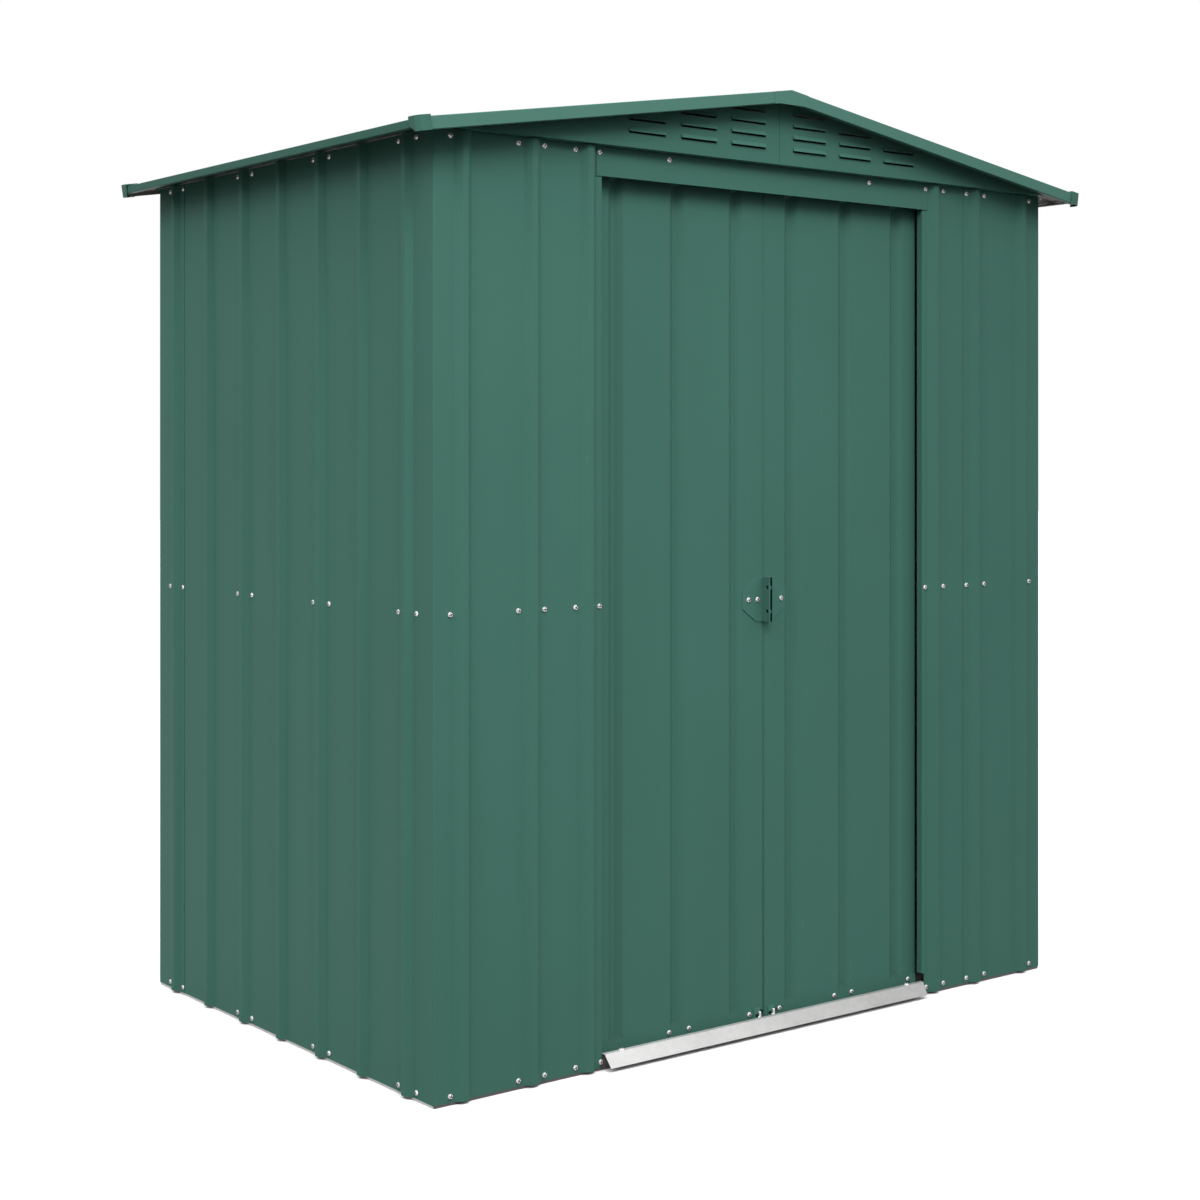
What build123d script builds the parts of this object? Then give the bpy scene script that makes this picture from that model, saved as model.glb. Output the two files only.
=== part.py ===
from math import atan2, degrees, hypot
import os

from build123d import *

os.makedirs("parts", exist_ok=True)

# Driving dimensions, in millimetres: the walls
wall_width = 1681.0
wall_depth = 1130.0
wall_height = 1793.0
ground_gap = 5.0
sheet = 1.0
rib_base = 38.0
rib_crest = 12.0
rib_height = 11.0
bend = 3.0
trim_bend = 1.6
seam_lap = 18.0
seam_tuck = 6.0
side_rib_inset = 87.5
side_bays = 6
corner_rib_inset = 64.5
seam_rib_inset = 223.0
back_bays = 8

# Driving dimensions: the doorway and the doors
doorway_width = 898.0
jamb_rib_inset = 35.0
jamb_return = 16.5
jamb_notch_height = 48.0
jamb_notch_width = 5.0
jamb_slot = 0.5
header_drop = 57.0
header_lap = 15.0
door_setback = 28.5
door_seam = 5.0
door_side_lap = 6.5
door_bottom = 22.0
door_top_drop = 26.0
door_hem = 15.0
groove_count = 3
groove_first = 75.5
groove_last = 61.5
groove_width = 37.0
groove_floor = 9.0
groove_depth = 10.0
groove_end = 19.0
brace_height = 44.0
brace_depth = 8.0
brace_inset = 4.0
brace_end = 46.0

# Driving dimensions: the hasps for a padlock
hasp_height = 896.0
hasp_plate_width = 57.0
hasp_plate_height = 92.0
hasp_chamfer_width = 38.0
hasp_chamfer_height = 28.0
hasp_stand_out = 24.0
hasp_thickness = 1.5
hasp_root = 3.0
padlock_hole = 9.0
padlock_hole_spacing = 50.0
padlock_hole_stand_out = 17.3

# Driving dimensions: the rails, the door tracks and the ramp
rail = 1.2
base_rail_height = 28.0
rail_flange = 25.0
mid_rail_height = 903.0
mid_rail_web = 30.0
top_rail_web = 30.0
rail_rise = 2.0
track_to_flange = 2.0
track_reach = 10.0
track_lip = 12.0
guide_rail_height = 18.0
guide_rail_offset = 4.5
shelf_drop = 17.0
shelf_offset = 21.5
shelf_lip = 8.0
header_web_drop = 2.0
ramp_gap = 0.5
ramp_height = 32.0
ramp_reach = 28.0
ramp_toe = 8.8
ramp_top_outer = 7.0
ramp_skew = 11.0
ramp_right_gap = 3.0
ramp_sheet = 1.2

# Driving dimensions: the door glides
glide_clearance = 1.0
hanger_width = 34.0
hanger_first = 154.5
hanger_leg = 29.0
hanger_thickness = 4.0
hanger_arm_drop = 7.0
hanger_arm = 6.0
hook_wall = 8.0
hook_nose = 3.5
guide_width = 16.0
guide_seam_inset = 8.5
guide_jamb_inset = 0.8
guide_front = 2.0
guide_back = 13.0
guide_cover = 21.0
guide_rise = 6.0
guide_sole = 4.0
guide_web = 1.5
guide_foot = 8.0

# Driving dimensions: the roof
roof_slope = 0.16
front_overhang = 58.0
rear_overhang = 40.0
side_overhang = 72.0
roof_lift = 16.5
gable_trim_height = 25.0
eave_trim_height = 16.0
trim_top_flange = 22.0
trim_bottom_flange = 12.0
trim_to_sheet = 5.0
cover_clearance = 0.2
roof_drop = 12.0
roof_rib_base = 30.0
roof_rib_crest = 12.0
roof_rib_height = 8.0
roof_rib_inset = 75.0
roof_bays = 7
ridge_gap = 2.0
ridge_cap_wing = 60.0
ridge_beam_width = 44.0
ridge_beam_depth = 40.0
cap_wall = 2.5
cap_clearance = 0.5
cap_side_clearance = 2.0
cap_gable_leg = 27.0
cap_eave_leg = 27.0
cap_chamfer = 8.0
cap_height = 28.5
cap_taper_end = 17.0
apex_plate_reach = 47.0
apex_flat_reach = 35.0

# Driving dimensions: the gables and their louvres
gable_stand_out = 20.0
gable_clearance = 0.5
gable_flange = 30.0
gable_seam = 1.0
louvre_length = 94.0
louvre_column = 133.5
louvre_first = 85.5
louvre_rows = (4, 3, 2)
louvre_row_pitch = 25.0
louvre_lowest = 31.0
louvre_hood_height = 8.5
louvre_hood_reach = 5.0
louvre_gap = 3.0

# Places that follow from the driving dimensions
side_x = wall_width / 2
wall_centre_y = (front_overhang - rear_overhang) / 2
front_y = wall_centre_y - wall_depth / 2
back_y = wall_centre_y + wall_depth / 2
wall_top = ground_gap + wall_height
rail_top = wall_top + rail_rise
side_pitch = (wall_depth - 2 * side_rib_inset) / side_bays
back_span = wall_width - 2 * seam_rib_inset
back_pitch = back_span / back_bays
jamb_x = doorway_width / 2
header_bottom = wall_top - header_drop
header_web = rail_top - header_bottom - header_web_drop
trim_peak = wall_top + roof_lift + roof_slope * side_x
door_face_y = front_y + door_setback
door_inner_x = door_seam / 2
door_outer_x = jamb_x + door_side_lap
door_width = door_outer_x - door_inner_x
door_top = rail_top - door_top_drop
guide_rail_y = door_face_y + guide_rail_offset
shelf_back_y = door_face_y + shelf_offset
shelf_height = rail_top - shelf_drop
track_back_y = shelf_back_y + track_reach
door_zone = track_back_y - front_y + track_to_flange
groove_pitch = (door_width - groove_first - groove_last) / (groove_count - 1)
brace_heights = (door_bottom + brace_end, hasp_height, door_top - brace_end - brace_height / 2)
trim_front_y = front_y - front_overhang
trim_back_y = back_y + rear_overhang
eave_x = side_x + side_overhang
inner_front_y = front_y + sheet
inner_back_y = back_y - sheet
inner_x = side_x - sheet


def rib(centre, land_before=0.0, land_after=0.0):
    """The outer points of one raised rib, from one foot to the other."""
    return [
        (centre - rib_base / 2, land_before),
        (centre - rib_crest / 2, rib_height),
        (centre + rib_crest / 2, rib_height),
        (centre + rib_base / 2, land_after),
    ]


def folded_sheet(plane, outline, inner_side, length, thickness=sheet, radius=bend, direction=None):
    """A sheet bent along the outline of its outer face, drawn out to its length."""
    with BuildPart() as folded:
        with BuildSketch(plane):
            with BuildLine():
                FilletPolyline(*outline, radius=radius)
                offset(amount=thickness, side=inner_side, kind=Kind.INTERSECTION)
            make_face()
        extrude(amount=length, dir=direction)
    return folded


def keep(builder, name):
    """Label a finished piece and write it to its own file."""
    builder.part.label = name
    export_step(builder.part, f"parts/{name}.step")


# Corner panels: each is one sheet folded round a corner of the shed, from the first rib
# of the side wall to the second rib of the front or back wall
corner_side_points = [
    (side_rib_inset + rib_base / 2 + seam_lap, sheet),
    *reversed(rib(side_rib_inset, 0.0, sheet)),
]
corner_end_points = [
    *rib(corner_rib_inset),
    *rib(seam_rib_inset, 0.0, sheet),
    (seam_rib_inset + rib_base / 2 + seam_lap, sheet),
]
for end_name, end in (("front", -1), ("back", 1)):
    for side_name, side in (("left", -1), ("right", 1)):
        outline = [
            (side * (side_x + out), wall_centre_y + end * (wall_depth / 2 - along))
            for along, out in corner_side_points
        ]
        outline.append((side * side_x, wall_centre_y + end * wall_depth / 2))
        outline += [
            (side * (side_x - along), wall_centre_y + end * (wall_depth / 2 + out))
            for along, out in corner_end_points
        ]
        inner_side = Side.LEFT if side * end > 0 else Side.RIGHT
        corner = folded_sheet(Plane.XY.offset(ground_gap), outline, inner_side, wall_height)
        keep(corner, f"{end_name}_{side_name}_corner_panel")

# Wall panels: flat sheets with raised ribs, each lapping its seam rib over the next panel
left_wall = Plane((-side_x, wall_centre_y, ground_gap), x_dir=(0, 1, 0), z_dir=(0, 0, 1))
right_wall = Plane((side_x, wall_centre_y, ground_gap), x_dir=(0, -1, 0), z_dir=(0, 0, 1))
back_wall = Plane((0, back_y, ground_gap), x_dir=(1, 0, 0), z_dir=(0, 0, 1))


def wall_panels(wall, first_seam, pitch, bays):
    """The two-bay panels of one wall, between the corner panels."""
    panels = []
    for bay in range(0, bays, 2):
        start = first_seam + bay * pitch
        finish = start + 2 * pitch
        outline = [(start + rib_base / 2 - seam_tuck, 0), *rib(start + pitch)]
        if bay + 2 < bays:
            outline += [*rib(finish, 0.0, sheet), (finish + rib_base / 2 + seam_lap, sheet)]
        else:
            outline.append((finish - rib_base / 2 + seam_tuck, 0))
        panels.append(folded_sheet(wall, outline, Side.RIGHT, wall_height))
    return panels


side_first_seam = side_rib_inset - wall_depth / 2
for wall_name, wall in (("left", left_wall), ("right", right_wall)):
    for count, panel in enumerate(wall_panels(wall, side_first_seam, side_pitch, side_bays), 1):
        keep(panel, f"{wall_name}_wall_panel_{count}")
for count, panel in enumerate(wall_panels(back_wall, -back_span / 2, back_pitch, back_bays), 1):
    keep(panel, f"back_wall_panel_{count}")

# Jamb panels: the front wall beside the doorway, with an edge turned inwards. The right one is
# notched at its foot, and both end under the web of the top track
for side_name, side in (("left", -1), ("right", 1)):
    jamb_points = [
        (side_x - seam_rib_inset - rib_base / 2 + seam_tuck, 0),
        *reversed(rib(jamb_x + jamb_rib_inset)),
        (jamb_x, 0),
        (jamb_x, -jamb_return),
    ]
    outline = [(side * across, front_y - out) for across, out in jamb_points]
    inner_side = Side.LEFT if side < 0 else Side.RIGHT
    jamb_sheet = folded_sheet(Plane.XY.offset(ground_gap), outline, inner_side, wall_height)
    web_bottom = rail_top - header_web - sheet
    with BuildPart() as jamb:
        add(jamb_sheet.part)
        with BuildSketch(Plane.XY.offset(web_bottom)):
            with Locations((side * (jamb_x + (bend - sheet) / 2), inner_front_y + jamb_return / 2)):
                Rectangle(bend + sheet, jamb_return)
        extrude(amount=wall_top - web_bottom, mode=Mode.SUBTRACT)
        if side > 0:
            with BuildSketch(Plane.XY.offset(ground_gap)):
                with Locations((jamb_x + jamb_notch_width / 2, front_y + jamb_return / 2)):
                    Rectangle(jamb_notch_width, jamb_return)
            extrude(amount=jamb_notch_height - ground_gap, mode=Mode.SUBTRACT)
    keep(jamb, f"{side_name}_jamb_panel")

# Door header: a flat sheet over the doorway
with BuildPart() as door_header:
    with BuildSketch(Plane.XY.offset(header_bottom)):
        with Locations((0, front_y - sheet / 2)):
            Rectangle(doorway_width + 2 * header_lap, sheet)
    extrude(amount=header_drop)
keep(door_header, "door_header")

# Base rails: galvanised angles under the side and back walls
side_rail_length = wall_depth - 2 * bend
side_flange_length = wall_depth - 2 * sheet - 2 * door_zone
across_inside = 2 * (side_x - bend)
for side_name, side in (("left", -1), ("right", 1)):
    rail_x = side * (inner_x - rail / 2)
    with BuildPart() as base_rail:
        with BuildSketch(Plane.XY):
            with Locations((rail_x, wall_centre_y)):
                Rectangle(rail, side_rail_length)
        extrude(amount=base_rail_height)
        with BuildSketch(Plane.XY):
            with Locations((side * (inner_x - rail_flange / 2), wall_centre_y)):
                Rectangle(rail_flange, side_flange_length)
        extrude(amount=rail)
    keep(base_rail, f"{side_name}_base_rail")

with BuildPart() as back_base_rail:
    with BuildSketch(Plane.XY):
        with Locations((0, inner_back_y - rail / 2)):
            Rectangle(across_inside, rail)
    extrude(amount=base_rail_height)
    with BuildSketch(Plane.XY):
        with Locations((0, inner_back_y - rail_flange / 2)):
            Rectangle(across_inside, rail_flange)
    extrude(amount=rail)
keep(back_base_rail, "back_base_rail")

# Bottom door track: the front base rail, with an upright guide rail, and slotted for the edges
# of the jamb panels
track_points = [
    (inner_front_y, ramp_height - ramp_sheet),
    (inner_front_y, 0),
    (track_back_y, 0),
    (track_back_y, track_lip),
]
with BuildPart() as bottom_door_track:
    with BuildSketch(Plane.YZ.offset(-across_inside / 2)):
        with BuildLine():
            Polyline(*track_points)
            offset(amount=rail, side=Side.LEFT, kind=Kind.INTERSECTION)
        make_face()
        with Locations((guide_rail_y + rail / 2, guide_rail_height / 2)):
            Rectangle(rail, guide_rail_height)
    extrude(amount=across_inside)
    with BuildSketch(Plane.XY.offset(rail)):
        for side in (-1, 1):
            with Locations((side * (jamb_x + bend / 2), inner_front_y + rail / 2)):
                Rectangle(bend + 2 * jamb_slot, rail)
    extrude(amount=ramp_height, mode=Mode.SUBTRACT)
keep(bottom_door_track, "bottom_door_track")

# Top door track: the front top rail, with a shelf and an upturned lip that the hangers ride on
with BuildPart() as top_door_track:
    with BuildSketch(Plane.YZ.offset(-across_inside / 2)):
        with Locations((inner_front_y + rail / 2, rail_top - header_web / 2)):
            Rectangle(rail, header_web)
        with Locations(((inner_front_y + shelf_back_y) / 2, shelf_height + rail / 2)):
            Rectangle(shelf_back_y - inner_front_y, rail)
        with Locations((shelf_back_y - rail / 2, shelf_height + shelf_lip / 2)):
            Rectangle(rail, shelf_lip)
    extrude(amount=across_inside)
keep(top_door_track, "top_door_track")

# Top rails: angles along the tops of the side and back walls
with BuildPart() as top_rails:
    for side in (-1, 1):
        with BuildSketch(Plane.XY.offset(rail_top - top_rail_web)):
            with Locations((side * (inner_x - rail / 2), wall_centre_y)):
                Rectangle(rail, side_rail_length)
        extrude(amount=top_rail_web)
        with BuildSketch(Plane.XY.offset(rail_top - rail)):
            with Locations((side * (inner_x - rail_flange / 2), wall_centre_y)):
                Rectangle(rail_flange, side_flange_length)
        extrude(amount=rail)
    with BuildSketch(Plane.XY.offset(rail_top - top_rail_web)):
        with Locations((0, inner_back_y - rail / 2)):
            Rectangle(across_inside - 2 * rail, rail)
    extrude(amount=top_rail_web)
    with BuildSketch(Plane.XY.offset(rail_top - rail)):
        with Locations((0, inner_back_y - rail_flange / 2)):
            Rectangle(across_inside - 2 * rail, rail_flange)
    extrude(amount=rail)
keep(top_rails, "top_rails")

# Middle rails: angles half way up the walls, one behind each row of middle screws
mid_bottom = mid_rail_height - mid_rail_web / 2
mid_top = mid_rail_height + mid_rail_web / 2
front_mid_length = inner_x - 2 * rail - jamb_x - bend
with BuildPart() as middle_rails:
    for side in (-1, 1):
        with BuildSketch(Plane.XY.offset(mid_bottom)):
            with Locations((side * (inner_x - rail / 2), wall_centre_y)):
                Rectangle(rail, side_rail_length)
            with Locations((side * (inner_x - 2 * rail - front_mid_length / 2), inner_front_y + rail / 2)):
                Rectangle(front_mid_length, rail)
        extrude(amount=mid_rail_web)
        with BuildSketch(Plane.XY.offset(mid_top - rail)):
            with Locations((side * (inner_x - rail_flange / 2), wall_centre_y)):
                Rectangle(rail_flange, side_flange_length)
        extrude(amount=rail)
    with BuildSketch(Plane.XY.offset(mid_bottom)):
        with Locations((0, inner_back_y - rail / 2)):
            Rectangle(across_inside - 2 * rail, rail)
    extrude(amount=mid_rail_web)
    with BuildSketch(Plane.XY.offset(mid_top - rail)):
        with Locations((0, inner_back_y - rail_flange / 2)):
            Rectangle(across_inside - 2 * rail, rail_flange)
    extrude(amount=rail)
keep(middle_rails, "middle_rails")

# Door ramp: a galvanised strip bent over the edge of the track, with its right end cut askew
ramp_points = [
    (inner_front_y + rail, ramp_height),
    (front_y - ramp_top_outer, ramp_height),
    (front_y - ramp_reach, ramp_toe),
]
ramp_left = -jamb_x + ramp_gap
ramp_right = jamb_x - ramp_right_gap
ramp_toe_y = front_y - ramp_reach - ramp_sheet
ramp_strip = folded_sheet(
    Plane.YZ.offset(ramp_left), ramp_points, Side.LEFT, ramp_right - ramp_left, ramp_sheet, trim_bend
)
skew_points = [(ramp_right, front_y), (ramp_right, ramp_toe_y), (ramp_right - ramp_skew, ramp_toe_y)]
with BuildPart() as door_ramp:
    add(ramp_strip.part)
    with BuildSketch(Plane.XY):
        with BuildLine():
            Polyline(*skew_points, close=True)
        make_face()
    extrude(amount=ramp_height, mode=Mode.SUBTRACT)
keep(door_ramp, "door_ramp")

# Doors: each leaf is a sheet with turned edges and three pressed upright grooves
leaf_face = Plane((0, door_face_y, 0), x_dir=(-1, 0, 0), z_dir=(0, 1, 0))
groove_run = (groove_width - groove_floor) / 2
groove_taper = degrees(atan2(groove_run, groove_depth))
flank_shift = sheet * hypot(groove_run, groove_depth) / groove_depth
door_height = door_top - door_bottom
groove_bottom = door_bottom + groove_end
groove_length = door_height - 2 * groove_end
groove_centre = groove_bottom + groove_length / 2
for side_name, side in (("left", -1), ("right", 1)):
    leaf_points = [
        (side * door_inner_x, door_face_y + door_hem),
        (side * door_inner_x, door_face_y),
        (side * door_outer_x, door_face_y),
        (side * door_outer_x, door_face_y + door_hem),
    ]
    groove_places = [
        (-side * (door_inner_x + groove_first + groove_pitch * count), groove_centre)
        for count in range(groove_count)
    ]
    inner_side = Side.LEFT if side > 0 else Side.RIGHT
    with BuildPart() as door_leaf:
        with BuildSketch(Plane.XY.offset(door_bottom)):
            with BuildLine():
                FilletPolyline(*leaf_points, radius=trim_bend)
                offset(amount=sheet, side=inner_side, kind=Kind.INTERSECTION)
            make_face()
        extrude(amount=door_height)
        with BuildSketch(leaf_face):
            with Locations(*groove_places):
                Rectangle(groove_width + 2 * flank_shift, groove_length + 2 * flank_shift)
        extrude(amount=groove_depth + sheet, taper=groove_taper)
        with BuildSketch(leaf_face):
            with Locations(*groove_places):
                Rectangle(groove_width, groove_length)
        extrude(amount=groove_depth, taper=groove_taper, mode=Mode.SUBTRACT)
    keep(door_leaf, f"{side_name}_door_leaf")

    brace_y = door_face_y + groove_depth + sheet
    brace_start = door_inner_x + sheet + brace_inset
    brace_length = door_width - 2 * sheet - 2 * brace_inset
    with BuildPart() as door_braces:
        for height in brace_heights:
            brace_points = [
                (brace_y + brace_depth, height - brace_height / 2),
                (brace_y, height - brace_height / 2),
                (brace_y, height + brace_height / 2),
                (brace_y + brace_depth, height + brace_height / 2),
            ]
            with BuildSketch(Plane.YZ.offset(side * brace_start)):
                with BuildLine():
                    Polyline(*brace_points)
                    offset(amount=sheet, side=Side.RIGHT, kind=Kind.INTERSECTION)
                make_face()
            extrude(amount=side * brace_length)
    keep(door_braces, f"{side_name}_door_braces")

    # Hasps: a plate with its corners cut off, and a flange of double thickness with two holes
    hasp_plate = [
        (-side * hasp_root, hasp_height - hasp_plate_height / 2),
        (-side * hasp_root, hasp_height + hasp_plate_height / 2),
        (-side * (hasp_root + hasp_plate_width - hasp_chamfer_width), hasp_height + hasp_plate_height / 2),
        (-side * (hasp_root + hasp_plate_width), hasp_height + hasp_plate_height / 2 - hasp_chamfer_height),
        (-side * (hasp_root + hasp_plate_width), hasp_height - hasp_plate_height / 2 + hasp_chamfer_height),
        (-side * (hasp_root + hasp_plate_width - hasp_chamfer_width), hasp_height - hasp_plate_height / 2),
    ]
    padlock_y = door_face_y - padlock_hole_stand_out
    with BuildPart() as hasp:
        with BuildSketch(leaf_face):
            with BuildLine():
                Polyline(*hasp_plate, close=True)
            make_face()
        extrude(amount=-hasp_thickness)
        with BuildSketch(Plane.YZ.offset(side * hasp_root)):
            with Locations((door_face_y - hasp_stand_out / 2, hasp_height)):
                Rectangle(hasp_stand_out, hasp_plate_height)
            with Locations((padlock_y, hasp_height)):
                with GridLocations(0, padlock_hole_spacing, 1, 2):
                    Circle(padlock_hole / 2, mode=Mode.SUBTRACT)
        extrude(amount=side * 2 * hasp_thickness)
    keep(hasp, f"{side_name}_door_hasp")

    leaf_back_y = door_face_y + sheet
    lip_outer_y = shelf_back_y + glide_clearance
    lip_inner_y = shelf_back_y - rail - glide_clearance
    lip_top = shelf_height + shelf_lip + glide_clearance
    nose_bottom = shelf_height + rail + glide_clearance
    arm_top = shelf_height - hanger_arm_drop
    leg_bottom = door_top - hanger_leg
    hanger_points = [
        (leaf_back_y, leg_bottom),
        (leaf_back_y, arm_top),
        (lip_outer_y, arm_top),
        (lip_outer_y, lip_top),
        (lip_inner_y, lip_top),
        (lip_inner_y, nose_bottom),
        (lip_inner_y - hook_nose, nose_bottom),
        (lip_inner_y - hook_nose, lip_top + hanger_thickness),
        (lip_outer_y + hook_wall, lip_top + hanger_thickness),
        (lip_outer_y + hook_wall, arm_top - hanger_arm),
        (leaf_back_y + hanger_thickness, arm_top - hanger_arm),
        (leaf_back_y + hanger_thickness, leg_bottom),
    ]
    slot_front_y = guide_rail_y - glide_clearance
    slot_back_y = guide_rail_y + rail + glide_clearance
    slot_top = guide_rail_height + glide_clearance
    guide_points = [
        (door_face_y - guide_front, door_bottom - guide_sole),
        (door_face_y - guide_front, door_bottom + guide_cover),
        (door_face_y, door_bottom + guide_cover),
        (door_face_y, door_bottom),
        (leaf_back_y, door_bottom),
        (leaf_back_y, door_bottom + guide_rise),
        (door_face_y + guide_back, door_bottom + guide_rise),
        (door_face_y + guide_back, guide_foot),
        (slot_back_y, guide_foot),
        (slot_back_y, slot_top),
        (slot_front_y, slot_top),
        (slot_front_y, guide_foot),
        (door_face_y + guide_web, guide_foot),
        (door_face_y + guide_web, door_bottom - guide_sole),
    ]
    with BuildPart() as glides:
        for start in (hanger_first, door_width - hanger_first):
            with BuildSketch(Plane.YZ.offset(side * (door_inner_x + start - hanger_width / 2))):
                with BuildLine():
                    Polyline(*hanger_points, close=True)
                make_face()
            extrude(amount=side * hanger_width)
        for start in (sheet + guide_seam_inset, door_width - sheet - guide_jamb_inset - guide_width):
            with BuildSketch(Plane.YZ.offset(side * (door_inner_x + start))):
                with BuildLine():
                    Polyline(*guide_points, close=True)
                make_face()
            extrude(amount=side * guide_width)
    keep(glides, f"{side_name}_door_glides")

# Roof: two ribbed sheets that slope to the sides from the ridge
slope_stretch = hypot(1.0, roof_slope)
sheet_front_y = trim_front_y + sheet + trim_to_sheet
sheet_back_y = trim_back_y - sheet - trim_to_sheet
roof_top = trim_peak - roof_drop + sheet
crest_top = roof_top + roof_rib_height + cover_clearance
roof_pitch = (sheet_back_y - sheet_front_y - 2 * roof_rib_inset) / roof_bays
for side_name, side in (("left", -1), ("right", 1)):
    level = roof_top - roof_slope * ridge_gap
    roof_points = [(sheet_front_y, level)]
    for count in range(roof_bays + 1):
        centre = sheet_front_y + roof_rib_inset + count * roof_pitch
        roof_points += [
            (centre - roof_rib_base / 2, level),
            (centre - roof_rib_crest / 2, level + roof_rib_height),
            (centre + roof_rib_crest / 2, level + roof_rib_height),
            (centre + roof_rib_base / 2, level),
        ]
    roof_points.append((sheet_back_y, level))
    roof_run = eave_x - sheet - trim_to_sheet - ridge_gap
    roof = folded_sheet(
        Plane.YZ.offset(side * ridge_gap),
        roof_points,
        Side.RIGHT,
        roof_run * slope_stretch,
        direction=(side, 0, -roof_slope),
    )
    keep(roof, f"{side_name}_roof_sheet")

    # Eave trims: a strip folded over the low edge of the sheet
    eave_points = [
        (side * (eave_x - trim_top_flange), crest_top + sheet - roof_slope * (eave_x - trim_top_flange)),
        (side * eave_x, crest_top + sheet - roof_slope * eave_x),
        (side * eave_x, crest_top + sheet - roof_slope * eave_x - eave_trim_height),
        (side * (eave_x - trim_bottom_flange), crest_top + sheet - roof_slope * eave_x - eave_trim_height),
    ]
    eave_start = trim_front_y + trim_top_flange + trim_to_sheet
    eave_finish = trim_back_y - trim_top_flange - trim_to_sheet
    eave = folded_sheet(
        Plane.XZ.offset(-eave_finish),
        eave_points,
        Side.RIGHT if side > 0 else Side.LEFT,
        eave_finish - eave_start,
        radius=trim_bend,
    )
    keep(eave, f"{side_name}_eave_trim")

    # Gable trims: a channel that closes the front and back edges of the roof
    for end_name, end, face in (("front", -1, trim_front_y), ("back", 1, trim_back_y)):
        gable_trim_points = [
            (face - end * trim_top_flange, trim_peak),
            (face, trim_peak),
            (face, trim_peak - gable_trim_height),
            (face - end * trim_bottom_flange, trim_peak - gable_trim_height),
        ]
        trim_run = eave_x - cap_wall - cap_chamfer - roof_slope * cap_height
        gable_trim = folded_sheet(
            Plane.YZ.offset(side * gable_seam / 2),
            gable_trim_points,
            Side.LEFT if end < 0 else Side.RIGHT,
            trim_run * slope_stretch,
            radius=trim_bend,
            direction=(side, 0, -roof_slope),
        )
        keep(gable_trim, f"{end_name}_{side_name}_gable_trim")

# Ridge cap: a strip folded over the ridge
ridge_points = [
    (-ridge_cap_wing, crest_top + sheet - roof_slope * ridge_cap_wing),
    (0, crest_top + sheet),
    (ridge_cap_wing, crest_top + sheet - roof_slope * ridge_cap_wing),
]
ridge_cap = folded_sheet(
    Plane.XZ.offset(-sheet_back_y), ridge_points, Side.RIGHT, sheet_back_y - sheet_front_y
)
keep(ridge_cap, "ridge_cap")

# Ridge beam: a channel from gable to gable under the ridge
beam_top = trim_peak - roof_drop - roof_slope * ridge_beam_width / 2
beam_points = [
    (-ridge_beam_width / 2, beam_top - ridge_beam_depth),
    (-ridge_beam_width / 2, beam_top),
    (ridge_beam_width / 2, beam_top),
    (ridge_beam_width / 2, beam_top - ridge_beam_depth),
]
beam_end = gable_stand_out - sheet
ridge_beam = folded_sheet(
    Plane.XZ.offset(-(back_y + beam_end)), beam_points, Side.RIGHT, wall_depth + 2 * beam_end, rail
)
keep(ridge_beam, "ridge_beam")

# Apex plates: they cover the joints of the gable trims at the ridge
apex_points = [
    (-apex_plate_reach, trim_peak - roof_slope * apex_plate_reach),
    (0, trim_peak),
    (apex_plate_reach, trim_peak - roof_slope * apex_plate_reach),
    (apex_plate_reach, trim_peak - gable_trim_height - roof_slope * apex_plate_reach),
    (apex_flat_reach, trim_peak - gable_trim_height - roof_slope * apex_flat_reach),
    (-apex_flat_reach, trim_peak - gable_trim_height - roof_slope * apex_flat_reach),
    (-apex_plate_reach, trim_peak - gable_trim_height - roof_slope * apex_plate_reach),
]
with BuildPart() as apex_plates:
    for plate_y in (trim_front_y, trim_back_y + sheet):
        with BuildSketch(Plane.XZ.offset(-plate_y)):
            with BuildLine():
                Polyline(*apex_points, close=True)
            make_face()
        extrude(amount=sheet)
keep(apex_plates, "apex_plates")

# Roof corner caps: plastic shells over the four corners of the roof trim, square to the slope.
# On two of them the eave leg is cut down to the height of the eave trim
cap_top = cap_clearance + cap_wall
cap_out = cap_side_clearance + cap_wall
with BuildPart() as roof_corner_caps:
    for end, face in ((-1, trim_front_y), (1, trim_back_y)):
        for side in (-1, 1):
            corner = Plane(
                (side * eave_x, face + end * cap_top, trim_peak - roof_slope * eave_x),
                x_dir=(side, 0, -roof_slope),
                z_dir=(side * roof_slope, 0, 1),
            )
            inward = -side * end
            for inset, mode in ((0.0, Mode.ADD), (cap_wall, Mode.SUBTRACT)):
                cap_points = [
                    (-cap_gable_leg, inward * inset),
                    (cap_out - cap_chamfer, inward * inset),
                    (cap_out - inset, inward * cap_chamfer),
                    (cap_out - inset, inward * cap_eave_leg),
                    (-cap_gable_leg, inward * cap_eave_leg),
                ]
                with BuildSketch(corner.offset(cap_top - inset)):
                    with BuildLine():
                        Polyline(*cap_points, close=True)
                    make_face()
                extrude(amount=inset - cap_height, mode=mode)
            if side == end:
                taper = Plane(corner.origin, x_dir=-corner.y_dir, z_dir=-corner.x_dir)
                taper_points = [
                    (cap_chamfer, cap_top - cap_height),
                    (cap_eave_leg, cap_top - cap_taper_end),
                    (cap_eave_leg, cap_top - cap_height),
                ]
                with BuildSketch(taper):
                    with BuildLine():
                        Polyline(*taper_points, close=True)
                    make_face()
                extrude(amount=cap_out, both=True, mode=Mode.SUBTRACT)
keep(roof_corner_caps, "roof_corner_caps")

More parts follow.
